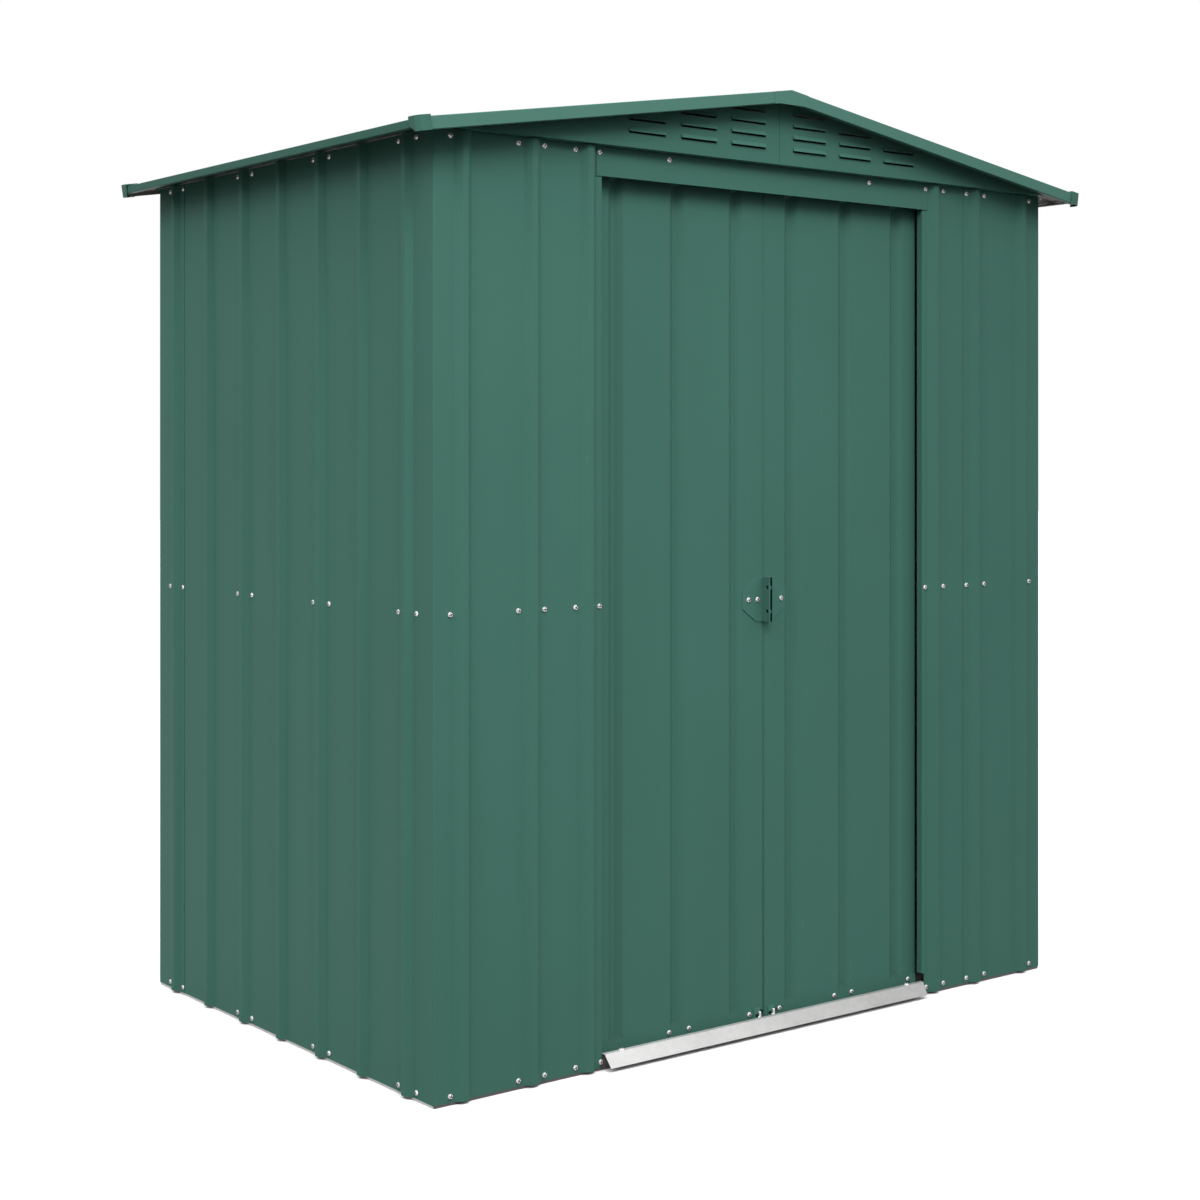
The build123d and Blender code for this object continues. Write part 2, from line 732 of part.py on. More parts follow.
# Gables: the triangular halves above the walls, pressed with rows of louvres
gable_bottom = rail_top
gable_head = trim_peak - roof_drop - gable_clearance
gable_reach = (gable_head - gable_bottom - 2 * sheet) / roof_slope
louvre_places = [
    (
        louvre_first - louvre_length / 2 + column * louvre_column,
        gable_bottom + louvre_lowest + row * louvre_row_pitch,
    )
    for column, rows in enumerate(louvre_rows)
    for row in range(rows)
]
for end_name, end, wall_y in (("front", -1, front_y), ("back", 1, back_y)):
    gable_y = wall_y + end * gable_stand_out
    for side_name, side in (("left", -1), ("right", 1)):
        gable_points = [
            (side * gable_seam / 2, gable_bottom),
            (side * gable_seam / 2, gable_head - roof_slope * gable_seam / 2),
            (side * gable_reach, gable_head - roof_slope * gable_reach),
            (side * gable_reach, gable_bottom),
        ]
        flange_reach = gable_reach - gable_seam / 2
        flange_x = side * (gable_seam / 2 + flange_reach / 2)
        with BuildPart() as gable:
            with BuildSketch(Plane.XZ.offset(-gable_y)):
                with BuildLine():
                    Polyline(*gable_points, close=True)
                make_face()
            extrude(amount=end * sheet)
            with BuildSketch(Plane.XY.offset(gable_bottom)):
                with Locations((flange_x, gable_y - end * gable_flange / 2)):
                    Rectangle(flange_reach, gable_flange)
            extrude(amount=sheet)
            for start, lowest in louvre_places:
                hood = [
                    (gable_y, lowest),
                    (gable_y + end * louvre_hood_reach, lowest),
                    (gable_y, lowest + louvre_hood_height),
                ]
                hollow = [
                    (gable_y - end * 2 * sheet, lowest - louvre_gap),
                    (gable_y + end * (louvre_hood_reach - sheet), lowest - louvre_gap),
                    (gable_y + end * (louvre_hood_reach - sheet), lowest),
                    (gable_y - end * sheet, lowest + louvre_hood_height - sheet),
                    (gable_y - end * 2 * sheet, lowest + louvre_hood_height - sheet),
                ]
                for points, inset, mode in ((hood, 0.0, Mode.ADD), (hollow, sheet, Mode.SUBTRACT)):
                    with BuildSketch(Plane.YZ.offset(side * (start + inset))):
                        with BuildLine():
                            Polyline(*points, close=True)
                        make_face()
                    extrude(amount=side * (louvre_length - 2 * inset), mode=mode)
        keep(gable, f"{end_name}_{side_name}_gable")
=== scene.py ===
from math import atan, pi, radians
import random

import bpy
from mathutils import Matrix, Vector


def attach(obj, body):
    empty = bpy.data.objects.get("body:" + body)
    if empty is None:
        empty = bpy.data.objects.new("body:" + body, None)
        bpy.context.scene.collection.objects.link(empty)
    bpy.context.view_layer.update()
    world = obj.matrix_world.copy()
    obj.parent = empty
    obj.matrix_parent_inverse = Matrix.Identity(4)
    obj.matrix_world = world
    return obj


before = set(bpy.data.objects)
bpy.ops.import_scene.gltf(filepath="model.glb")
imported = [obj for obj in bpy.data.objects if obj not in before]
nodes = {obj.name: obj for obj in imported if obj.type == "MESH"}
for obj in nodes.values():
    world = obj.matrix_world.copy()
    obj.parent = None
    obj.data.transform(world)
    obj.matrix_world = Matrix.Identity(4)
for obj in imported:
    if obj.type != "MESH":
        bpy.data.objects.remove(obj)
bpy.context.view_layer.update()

# Camera: it stands off the front left corner of the shed, level, a little above the hasps,
# with the lens shifted down so that the upright edges of the walls stay upright.
camera_place = (-2.9047, -3.7176, 1.2022)
camera_turn = -37.97
camera_lens = 61.67
camera_shift = (-0.00597, -0.12275)
camera_data = bpy.data.cameras.new("camera")
camera_data.sensor_width = 36.0
camera_data.lens = camera_lens
camera_data.shift_x, camera_data.shift_y = camera_shift
camera_data.clip_end = 100.0
camera = bpy.data.objects.new("camera", camera_data)
camera.location = camera_place
camera.rotation_euler = (pi / 2, 0.0, radians(camera_turn))
bpy.context.scene.collection.objects.link(camera)
bpy.context.scene.camera = camera
bpy.context.scene.view_settings.view_transform = "Standard"


# Floor and studio light: a wide pale floor, a white room, and two soft boxes. The floor looks
# white to the camera and in the metal, and keeps the shadow.
def link_nodes(tree, source, target):
    tree.links.new(source, target)


def new_finish(name):
    """An empty finish, its node tree and its surface shader."""
    material = bpy.data.materials.new(name)
    material.use_nodes = True
    return material, material.node_tree, material.node_tree.nodes["Principled BSDF"]


def add_math(tree, operation, first, second=None):
    """A sum on one value or two, each of them a number or another node's output."""
    node = tree.nodes.new("ShaderNodeMath")
    node.operation = operation
    for slot_number, value in enumerate((first, second)):
        if value is None:
            continue
        if isinstance(value, (int, float)):
            node.inputs[slot_number].default_value = value
        else:
            link_nodes(tree, value, node.inputs[slot_number])
    return node.outputs[0]


def add_mix(tree, factor, first, second, kind="RGBA"):
    """The first colour where the factor is 0 and the second where it is 1. Of kind FLOAT it
    mixes two numbers."""
    node = tree.nodes.new("ShaderNodeMix")
    node.data_type = kind
    for socket_name, value in (("Factor", factor), ("A", first), ("B", second)):
        if isinstance(value, (int, float, tuple)):
            node.inputs[socket_name].default_value = value
        else:
            link_nodes(tree, value, node.inputs[socket_name])
    return node.outputs["Result"]


def split(tree, vector):
    """The X, Y and Z of a vector."""
    node = tree.nodes.new("ShaderNodeSeparateXYZ")
    link_nodes(tree, vector, node.inputs[0])
    return node.outputs


def seen_or_mirrored(tree):
    """A mask that is 1 for what the camera sees, straight, in a mirror or through glass."""
    path = tree.nodes.new("ShaderNodeLightPath")
    seen = add_math(tree, "MAXIMUM", path.outputs["Is Camera Ray"], path.outputs["Is Glossy Ray"])
    return add_math(tree, "MAXIMUM", seen, path.outputs["Is Transmission Ray"])


floor_size = 60.0
floor_height = -0.0005
floor_seen = (0.80, 0.80, 0.80, 1.0)
floor_bounce = (0.07, 0.07, 0.07, 1.0)
floor_paper, tree, paper = new_finish("floor_paper")
paper.inputs["Roughness"].default_value = 0.9
paper.inputs["Specular IOR Level"].default_value = 0.0
pale = add_mix(tree, seen_or_mirrored(tree), floor_bounce, floor_seen)
link_nodes(tree, pale, paper.inputs["Base Color"])
bpy.ops.object.select_all(action="DESELECT")
bpy.ops.mesh.primitive_plane_add(size=floor_size, location=(0.0, 0.0, floor_height))
floor = bpy.context.object
floor.name = "floor"
floor.data.materials.append(floor_paper)

# The sky is brightest above about 40 degrees, so that the eaves shade the walls
sky_levels = ((0.0, 0.2), (0.28, 0.8), (0.5, 1.5), (0.68, 2.4), (0.92, 2.4), (1.0, 1.2))
room_white = 1.0
world = bpy.data.worlds.new("white_room")
bpy.context.scene.world = world
world.use_nodes = True
tree = world.node_tree
air = tree.nodes["Background"]
air.inputs["Color"].default_value = (1.0, 1.0, 1.0, 1.0)
upward = split(tree, tree.nodes.new("ShaderNodeTexCoord").outputs["Generated"])["Z"]
sky = tree.nodes.new("ShaderNodeFloatCurve")
sky_top = max(level for height, level in sky_levels)
curve = sky.mapping.curves[0]
while len(curve.points) < len(sky_levels):
    curve.points.new(0.5, 0.5)
for point, (height, level) in zip(curve.points, sky_levels):
    point.location = (height, level / sky_top)
    point.handle_type = "VECTOR"
sky.mapping.update()
link_nodes(tree, upward, sky.inputs["Value"])
sky_strength = add_math(tree, "MULTIPLY", sky.outputs["Value"], sky_top)
strength = add_mix(tree, seen_or_mirrored(tree), sky_strength, room_white, kind="FLOAT")
link_nodes(tree, strength, air.inputs["Strength"])


def add_lamp(name, place, aim, size, power, spread):
    """A soft box: a square lamp at its place, turned to the point that it lights."""
    data = bpy.data.lights.new(name, "AREA")
    data.energy = power
    data.size = size
    data.spread = radians(spread)
    lamp = bpy.data.objects.new(name, data)
    lamp.location = place
    lamp.rotation_euler = (Vector(aim) - Vector(place)).to_track_quat("-Z", "Y").to_euler()
    bpy.context.scene.collection.objects.link(lamp)


add_lamp("key_lamp", (-1.3, -3.5, 4.6), aim=(-0.9, -0.5, 1.0), size=2.0, power=39.0, spread=90.0)
add_lamp("side_lamp", (-4.6, -1.7, 4.6), aim=(-0.8, 0.1, 1.0), size=2.4, power=40.0, spread=120.0)


# Wall panels, gables, header and top track: thin steel sheet, roll formed into ribs or folded,
# with a baked green coat outside and a pale pinkish grey back coat on the inner side of the
# walls. The sheets overlap at a rib.
def new_group(name, inputs, outputs):
    """An empty node group with the named sockets, its input node and its output node."""
    group = bpy.data.node_groups.new(name, "ShaderNodeTree")
    for socket_name, kind, value in inputs:
        socket = group.interface.new_socket(socket_name, in_out="INPUT", socket_type=kind)
        socket.default_value = value
    for socket_name, kind in outputs:
        group.interface.new_socket(socket_name, in_out="OUTPUT", socket_type=kind)
    return group, group.nodes.new("NodeGroupInput"), group.nodes.new("NodeGroupOutput")


def add_group(tree, group, **values):
    """A node group placed in the tree, with a value for each of its named inputs."""
    node = tree.nodes.new("ShaderNodeGroup")
    node.node_tree = group
    for socket_name, value in values.items():
        node.inputs[socket_name].default_value = value
    return node


def object_place(tree):
    return tree.nodes.new("ShaderNodeTexCoord").outputs["Object"]


def true_normal(tree):
    return tree.nodes.new("ShaderNodeNewGeometry").outputs["True Normal"]


def add_noise(tree, vector, scale, detail, roughness=0.5):
    node = tree.nodes.new("ShaderNodeTexNoise")
    node.inputs["Scale"].default_value = scale
    node.inputs["Detail"].default_value = detail
    node.inputs["Roughness"].default_value = roughness
    link_nodes(tree, vector, node.inputs["Vector"])
    return node.outputs["Fac"]


def add_range(tree, value, low, high, to_low=0.0, to_high=1.0):
    node = tree.nodes.new("ShaderNodeMapRange")
    node.inputs["From Min"].default_value = low
    node.inputs["From Max"].default_value = high
    node.inputs["To Min"].default_value = to_low
    node.inputs["To Max"].default_value = to_high
    link_nodes(tree, value, node.inputs["Value"])
    return node.outputs["Result"]


common_noise = (0.3, 0.7)


def vary(tree, noise, lowest, highest):
    """The noise, whose common levels are spread from the lowest value to the highest."""
    return add_range(tree, noise, *common_noise, lowest, highest)


def stretched(tree, vector, scale):
    node = tree.nodes.new("ShaderNodeMapping")
    node.inputs["Scale"].default_value = scale
    link_nodes(tree, vector, node.inputs["Vector"])
    return node.outputs["Vector"]


def toned(tree, colour, tone):
    """The colour made lighter or darker by the tone, which is 1 for no change."""
    node = tree.nodes.new("ShaderNodeHueSaturation")
    link_nodes(tree, colour, node.inputs["Color"])
    link_nodes(tree, tone, node.inputs["Value"])
    return node.outputs["Color"]


def add_bump(tree, height, surface, strength, distance):
    bump = tree.nodes.new("ShaderNodeBump")
    bump.inputs["Strength"].default_value = strength
    bump.inputs["Distance"].default_value = distance
    link_nodes(tree, height, bump.inputs["Height"])
    link_nodes(tree, bump.outputs["Normal"], surface.inputs["Normal"])


COLOUR, NUMBER = "NodeSocketColor", "NodeSocketFloat"
streak_stretch = (16.0, 16.0, 0.9)
scuff_stretch = (160.0, 160.0, 22.0)
scuff_colour = (0.20, 0.29, 0.25, 1.0)
scuff_roughness = 0.25
coat_group, coat_in, coat_out = new_group(
    "baked_coat",
    (("Coat", COLOUR, (0.02, 0.11, 0.08, 1.0)), ("Scuffs", NUMBER, 0.5), ("Gloss", NUMBER, 0.40)),
    (("Colour", COLOUR), ("Roughness", NUMBER), ("Height", NUMBER)),
)
place = object_place(coat_group)
clouds = add_noise(coat_group, place, scale=2.6, detail=3.0)
streaks = add_noise(
    coat_group, stretched(coat_group, place, streak_stretch), scale=1.0, detail=4.0, roughness=0.6
)
grains = add_noise(coat_group, place, scale=950.0, detail=1.0)
tone = add_math(
    coat_group, "ADD",
    vary(coat_group, clouds, 0.975, 1.025),
    vary(coat_group, streaks, -0.012, 0.012),
)
scuff_lines = add_noise(
    coat_group, stretched(coat_group, place, scuff_stretch), scale=1.0, detail=5.0, roughness=0.7
)
scuff_areas = add_noise(coat_group, place, scale=5.0, detail=2.0)
scuff = add_math(
    coat_group, "MULTIPLY",
    add_range(coat_group, scuff_lines, low=0.66, high=0.74),
    add_range(coat_group, scuff_areas, low=0.52, high=0.66),
)
scuff = add_math(coat_group, "MULTIPLY", scuff, coat_in.outputs["Scuffs"])
coat_colour = toned(coat_group, coat_in.outputs["Coat"], tone)
link_nodes(coat_group, add_mix(coat_group, scuff, coat_colour, scuff_colour), coat_out.inputs["Colour"])
rough = add_math(coat_group, "ADD", coat_in.outputs["Gloss"], vary(coat_group, clouds, -0.03, 0.05))
rough = add_math(coat_group, "ADD", rough, add_math(coat_group, "MULTIPLY", scuff, scuff_roughness))
link_nodes(coat_group, rough, coat_out.inputs["Roughness"])
link_nodes(coat_group, grains, coat_out.inputs["Height"])

# A mask for the inner side of the four walls, which keeps the back coat of the sheet
wall_middle_y = 0.009
side_wall_inner = 0.838
end_wall_inner = 0.5630
inward_limit = -0.05
inner_group, _, inner_out = new_group("inner_side_of_walls", (), (("Inner", NUMBER),))
facing = split(inner_group, true_normal(inner_group))
spot = split(inner_group, object_place(inner_group))
outward = 0.0
for axis, middle, inner in (("X", 0.0, side_wall_inner), ("Y", wall_middle_y, end_wall_inner)):
    offset = add_math(inner_group, "SUBTRACT", spot[axis], middle)
    on_wall = add_math(inner_group, "GREATER_THAN", add_math(inner_group, "ABSOLUTE", offset), inner)
    away = add_math(inner_group, "MULTIPLY", add_math(inner_group, "SIGN", offset), facing[axis])
    outward = add_math(inner_group, "ADD", add_math(inner_group, "MULTIPLY", away, on_wall), outward)
inwards = add_math(inner_group, "LESS_THAN", outward, inward_limit)
link_nodes(inner_group, inwards, inner_out.inputs["Inner"])

back_coat = (0.66, 0.575, 0.56, 1.0)
back_gloss = 0.55
back_scuffs = 0.2


def coated_sheet(name, coat, gloss, scuffs, inner_mask, shade_mask=None, shade_colour=None):
    """Painted sheet steel: the green coat outside, the back coat where the first mask is 1,
    and a darker colour, as painted shade, where the second mask is 1."""
    material, tree, sheet = new_finish(name)
    outside = add_group(tree, coat_group, Coat=coat, Gloss=gloss, Scuffs=scuffs)
    inside = add_group(tree, coat_group, Coat=back_coat, Gloss=back_gloss, Scuffs=back_scuffs)
    mask = inner_mask(tree)
    colour = add_mix(tree, mask, outside.outputs["Colour"], inside.outputs["Colour"])
    # Painted shade: a darker colour where the second mask is 1
    if shade_mask is not None:
        colour = add_mix(tree, shade_mask(tree), colour, shade_colour)
    link_nodes(tree, colour, sheet.inputs["Base Color"])
    rough = add_mix(tree, mask, outside.outputs["Roughness"], inside.outputs["Roughness"], kind="FLOAT")
    link_nodes(tree, rough, sheet.inputs["Roughness"])
    add_bump(tree, outside.outputs["Height"], sheet, strength=0.05, distance=0.0004)
    sheet.inputs["Specular IOR Level"].default_value = 0.03
    return material


facing_limit = 0.3


def walls_inside(tree):
    return add_group(tree, inner_group).outputs["Inner"]


def side_facing(axis, sign):
    """A mask that is 1 on faces that look along the axis, on the side that the sign gives."""
    def build(tree):
        facing = add_math(tree, "MULTIPLY", split(tree, true_normal(tree))[axis], float(sign))
        return add_math(tree, "GREATER_THAN", facing, facing_limit)
    return build


def turned_inwards(axis):
    """A mask that is 1 on faces that look along the axis towards the middle of the shed."""
    def build(tree):
        facing = split(tree, true_normal(tree))[axis]
        side = add_math(tree, "SIGN", split(tree, object_place(tree))[axis])
        return add_math(tree, "LESS_THAN", add_math(tree, "MULTIPLY", side, facing), -facing_limit)
    return build


def finish_nodes(material, test):
    """Gives the material to the CAD pieces whose names pass the test."""
    for name, node in nodes.items():
        if test(name):
            node.data.materials.clear()
            node.data.materials.append(material)


wall_coat = (0.0485, 0.1325, 0.105, 1.0)
wall_paint = coated_sheet("wall_paint", wall_coat, gloss=0.42, scuffs=0.35, inner_mask=walls_inside)
finish_nodes(
    wall_paint,
    lambda name: "panel" in name or name in ("door_header", "top_door_track") or name.endswith("_gable"),
)

# Doors: one sheet each, with edges turned back and three upright grooves pressed in,
# stiffened behind by galvanised channels. They hang from plastic shoes on the top track.
# The ledges at the feet of the grooves, which face up, are painted darker, as painted shade.
ledge_painted_shade = (0.030, 0.083, 0.066, 1.0)
door_paint = coated_sheet(
    "door_paint", wall_coat, gloss=0.40, scuffs=0.35,
    inner_mask=side_facing("Y", 1), shade_mask=side_facing("Z", 1), shade_colour=ledge_painted_shade,
)
finish_nodes(door_paint, lambda name: name.endswith("door_leaf"))

# Hasps: two steel angles, cut to shape, folded and painted, one screwed to each door. The
# faces that look at each other across the seam are painted dark, as painted shade in the gap.
hasp_coat = (0.051, 0.139, 0.111, 1.0)
seam_gap_painted_shade = (0.010, 0.028, 0.022, 1.0)
hasp_paint = coated_sheet(
    "hasp_paint", hasp_coat, gloss=0.36, scuffs=0.8,
    inner_mask=side_facing("Y", 1), shade_mask=turned_inwards("X"), shade_colour=seam_gap_painted_shade,
)
finish_nodes(hasp_paint, lambda name: name.endswith("hasp"))

# Roof sheets: ribbed like the walls, green on top, with the pale back coat showing under
# the eaves
roof_paint = coated_sheet("roof_paint", wall_coat, gloss=0.46, scuffs=0.5, inner_mask=side_facing("Z", -1))
finish_nodes(roof_paint, lambda name: name.endswith("roof_sheet"))

# Roof trim, ridge cap and apex plates: folded strips of painted steel, screwed along the
# edges of the roof sheets. They are a little lighter and glossier than the walls. The eave
# trims get a darker copy of the trim green, as painted shade.
trim_coat = (0.065, 0.160, 0.129, 1.0)
trim_paint = coated_sheet("trim_paint", trim_coat, gloss=0.38, scuffs=0.5, inner_mask=turned_inwards("Y"))
finish_nodes(
    trim_paint,
    lambda name: name.endswith("gable_trim") or name in ("ridge_cap", "apex_plates"),
)
# Painted shade: the eave trims' coat is a darker copy of the trim green
eave_shaded_coat = (0.0365, 0.103, 0.080, 1.0)
eave_shaded_paint = coated_sheet("eave_shaded_paint", eave_shaded_coat, gloss=0.38, scuffs=0.5, inner_mask=turned_inwards("X"))
finish_nodes(eave_shaded_paint, lambda name: name.endswith("eave_trim"))

# Roof corner caps: green plastic mouldings with a fine grain, pushed over the corners where
# the gable trims meet the eave trims
plastic_group, plastic_in, plastic_out = new_group(
    "moulded_plastic",
    (("Tint", COLOUR, (0.02, 0.12, 0.09, 1.0)), ("Gloss", NUMBER, 0.45)),
    (("Colour", COLOUR), ("Roughness", NUMBER), ("Height", NUMBER)),
)
place = object_place(plastic_group)
flow = add_noise(plastic_group, place, scale=24.0, detail=3.0)
texture = add_noise(plastic_group, place, scale=1400.0, detail=2.0)
tinted = toned(plastic_group, plastic_in.outputs["Tint"], vary(plastic_group, flow, 0.93, 1.07))
link_nodes(plastic_group, tinted, plastic_out.inputs["Colour"])
rough = add_math(
    plastic_group, "ADD", plastic_in.outputs["Gloss"], vary(plastic_group, flow, -0.05, 0.07)
)
link_nodes(plastic_group, rough, plastic_out.inputs["Roughness"])
link_nodes(plastic_group, texture, plastic_out.inputs["Height"])


def moulded(name, tint, gloss):
    material, tree, body = new_finish(name)
    group = add_group(tree, plastic_group, Tint=tint, Gloss=gloss)
    link_nodes(tree, group.outputs["Colour"], body.inputs["Base Color"])
    link_nodes(tree, group.outputs["Roughness"], body.inputs["Roughness"])
    add_bump(tree, group.outputs["Height"], body, strength=0.12, distance=0.0002)
    body.inputs["Specular IOR Level"].default_value = 0.08
    return material


cap_plastic = moulded("cap_plastic", tint=(0.040, 0.117, 0.091, 1.0), gloss=0.42)
finish_nodes(cap_plastic, lambda name: name == "roof_corner_caps")

# Door hangers and guide clips: moulded plastic shoes, in a green a little lighter than the
# doors, smoother than the caps because they run on the tracks
glide_plastic = moulded("glide_plastic", tint=(0.057, 0.170, 0.131, 1.0), gloss=0.38)
finish_nodes(glide_plastic, lambda name: name.endswith("glides"))

# Rails, bottom track, braces, ridge beam and ramp: galvanised strip, with the faint spangle
# that the zinc leaves, and fine lines along the roll. The ramp is painted lighter at its left
# end and darker towards its right end, as painted light and shade; the track is painted dark, as painted
# shade.
zinc_group, zinc_in, zinc_out = new_group(
    "galvanised_zinc",
    (("Zinc", COLOUR, (0.6, 0.6, 0.6, 1.0)), ("Spangle", NUMBER, 0.5), ("Dulling", NUMBER, 0.0)),
    (("Colour", COLOUR), ("Roughness", NUMBER), ("Height", NUMBER)),
)
roll_stretch = (3.0, 900.0, 900.0)
painted_shade_from, painted_shade_to = -0.45, 0.33
spangle_depth = 0.16
place = object_place(zinc_group)
crystals = zinc_group.nodes.new("ShaderNodeTexVoronoi")
crystals.inputs["Scale"].default_value = 130.0
crystals.inputs["Randomness"].default_value = 1.0
link_nodes(zinc_group, place, crystals.inputs["Vector"])
crystal_tone = zinc_group.nodes.new("ShaderNodeSeparateColor")
link_nodes(zinc_group, crystals.outputs["Color"], crystal_tone.inputs[0])
spangle = add_math(zinc_group, "SUBTRACT", crystal_tone.outputs[0], 0.5)
spangle = add_math(zinc_group, "MULTIPLY", spangle, zinc_in.outputs["Spangle"])
spangle = add_math(zinc_group, "MULTIPLY", spangle, spangle_depth)
rolled = add_noise(zinc_group, stretched(zinc_group, place, roll_stretch), scale=1.0, detail=3.0)
haze = add_noise(zinc_group, place, scale=9.0, detail=4.0)
# Painted light and shade: the tone is raised at the left end and lowered towards the right end
painted_shade_slope = add_range(zinc_group, split(zinc_group, place)["X"], painted_shade_from, painted_shade_to, -1.0, 1.0)
painted_shade_slope = add_math(zinc_group, "MULTIPLY", painted_shade_slope, zinc_in.outputs["Dulling"])
tone = add_math(zinc_group, "ADD", spangle, vary(zinc_group, haze, 0.94, 1.05))
tone = add_math(zinc_group, "SUBTRACT", tone, painted_shade_slope)
zinc_colour = toned(zinc_group, zinc_in.outputs["Zinc"], tone)
link_nodes(zinc_group, zinc_colour, zinc_out.inputs["Colour"])
rough = add_math(zinc_group, "ADD", vary(zinc_group, haze, 0.36, 0.50), spangle)
link_nodes(zinc_group, rough, zinc_out.inputs["Roughness"])
link_nodes(zinc_group, rolled, zinc_out.inputs["Height"])


def zinc_steel(name, zinc, spangle_amount, metallic, painted_shade_amount=0.0):
    """Zinc-coated steel, which can be painted lighter at its left end and darker at its right end, as
    painted light and shade.
    """
    material, tree, steel = new_finish(name)
    steel.inputs["Metallic"].default_value = metallic
    group = add_group(tree, zinc_group, Zinc=zinc, Spangle=spangle_amount, Dulling=painted_shade_amount)
    link_nodes(tree, group.outputs["Colour"], steel.inputs["Base Color"])
    link_nodes(tree, group.outputs["Roughness"], steel.inputs["Roughness"])
    add_bump(tree, group.outputs["Height"], steel, strength=0.06, distance=0.0002)
    return material


galvanised = zinc_steel("galvanised_steel", (0.50, 0.49, 0.49, 1.0), spangle_amount=0.8, metallic=0.35)
finish_nodes(
    galvanised,
    lambda name: "rail" in name or name.endswith("braces") or name == "ridge_beam",
)
# Painted shade: the bottom track's zinc is made dark, for the shade under the ramp
bottom_track_painted_shade = zinc_steel("bottom_track_painted_shade", (0.090, 0.068, 0.074, 1.0), spangle_amount=0.4, metallic=0.2)
finish_nodes(bottom_track_painted_shade, lambda name: name == "bottom_door_track")
ramp_steel = zinc_steel(
    "ramp_steel", (0.465, 0.465, 0.46, 1.0), spangle_amount=0.5, metallic=0.45, painted_shade_amount=0.24
)
finish_nodes(ramp_steel, lambda name: name == "door_ramp")

# Screws: zinc plated pan heads, 10 mm across, with a cross recess, driven through the
# sheets into the rails. Their points show inside the shed.
screw_sides = 16
screw_head = 0.0050
screw_skirt = 0.0012
screw_crown = 0.0034
screw_shank = 0.0019
screw_reach = 0.009
shoulder_inset, shoulder_rise = 0.16, 0.62
crown_inset = 0.24
recess_reach = 0.0029
recess_depth = 0.0019
recess_narrowing = {1: 0.52, 3: 0.52, 2: 0.36}
recess_floor = 0.5
recess_margin = 0.0002
thread_share = 0.7
point_scale = 0.12
squarely = 0.9
near_zero = 1e-6
smooth_below = radians(38)


def select_where(mesh, kind, test):
    """In object mode: selects the mesh's points or faces that pass the test, and no others."""
    for group in (mesh.vertices, mesh.edges, mesh.polygons):
        for item in group:
            item.select = False
    for item in getattr(mesh, kind):
        item.select = test(item)


def edit(obj, kind, test, *steps):
    """Selects part of the mesh and applies the edit mode operators to it, in order."""
    bpy.context.tool_settings.mesh_select_mode = (kind == "vertices", False, kind == "polygons")
    select_where(obj.data, kind, test)
    bpy.ops.object.mode_set(mode="EDIT")
    for step, values in steps:
        step(**values)
    bpy.ops.object.mode_set(mode="OBJECT")


def inset(thickness):
    return bpy.ops.mesh.inset, {"thickness": thickness}


def move(x=0.0, y=0.0, z=0.0):
    return bpy.ops.transform.translate, {"value": (x, y, z)}


def extrude(x=0.0, y=0.0, z=0.0):
    return bpy.ops.mesh.extrude_region_move, {"TRANSFORM_OT_translate": {"value": (x, y, z)}}


def shrink(scale):
    """Draws what is selected towards the upright line through the origin."""
    return bpy.ops.transform.resize, {"value": (scale, scale, 1.0), "center_override": (0.0, 0.0, 0.0)}


def looks(x=0.0, y=0.0, z=0.0):
    """A test for faces that look squarely along a direction, such as z=-1.0 for down."""
    return lambda face: face.normal.dot(Vector((x, y, z))) > squarely


def screw_head_piece(name):
    """A pan head with its underside at the origin and its crown along +Z."""
    bpy.ops.object.select_all(action="DESELECT")
    bpy.ops.mesh.primitive_cylinder_add(
        vertices=screw_sides, radius=screw_head, depth=screw_skirt, location=(0.0, 0.0, screw_skirt / 2)
    )
    screw = bpy.context.object
    screw.name = name
    bpy.ops.object.transform_apply(location=True)
    dome = screw_crown - screw_skirt
    flat_crown = screw_head * (1.0 - shoulder_inset - crown_inset)
    edit(
        screw, "polygons", looks(z=1.0),
        inset(screw_head * shoulder_inset),
        move(z=dome * shoulder_rise),
        inset(screw_head * crown_inset),
        move(z=dome * (1.0 - shoulder_rise)),
        inset(flat_crown - recess_reach),
    )
    cut_recess(screw)
    return screw


def cut_recess(screw):
    """The cross in the crown: of each four points of its round outline, the first stays out at
    an arm's end and the other three are drawn in. Then its floor is sunk and made smaller."""
    outline = {turn: set() for turn in range(4)}
    for point in screw.data.vertices:
        on_crown = abs(point.co.z - screw_crown) < near_zero
        if on_crown and point.co.xy.length < recess_reach + recess_margin:
            turn = point.co.xy.angle_signed(Vector((1.0, 0.0))) / (2 * pi / screw_sides)
            outline[round(turn) % 4].add(point.index)
    for turn, narrowing in recess_narrowing.items():
        chosen = outline[turn]
        edit(screw, "vertices", lambda point, chosen=chosen: point.index in chosen, shrink(narrowing))
    edit(
        screw, "polygons",
        lambda face: face.normal.z > squarely and len(face.vertices) == screw_sides,
        extrude(z=-recess_depth),
        shrink(recess_floor),
    )


def add_shank(screw):
    """The threaded part under the head: a short stem that ends in a point."""
    edit(
        screw, "polygons", looks(z=-1.0),
        inset(screw_head - screw_shank),
        extrude(z=-screw_reach * thread_share),
        extrude(z=-screw_reach * (1.0 - thread_share)),
        shrink(point_scale),
    )


TURNS = {
    "front": Matrix.Rotation(pi / 2, 4, "X"),
    "back": Matrix.Rotation(-pi / 2, 4, "X"),
    "left": Matrix.Rotation(-pi / 2, 4, "Y"),
    "right": Matrix.Rotation(pi / 2, 4, "Y"),
    "up": Matrix.Identity(4),
}
chance = random.Random(7)


def join_pieces(pieces):
    """Joins the pieces to the first of them, which keeps its name."""
    bpy.ops.object.select_all(action="DESELECT")
    for piece in pieces:
        piece.select_set(True)
    bpy.context.view_layer.objects.active = pieces[0]
    bpy.ops.object.join()
    return bpy.context.object


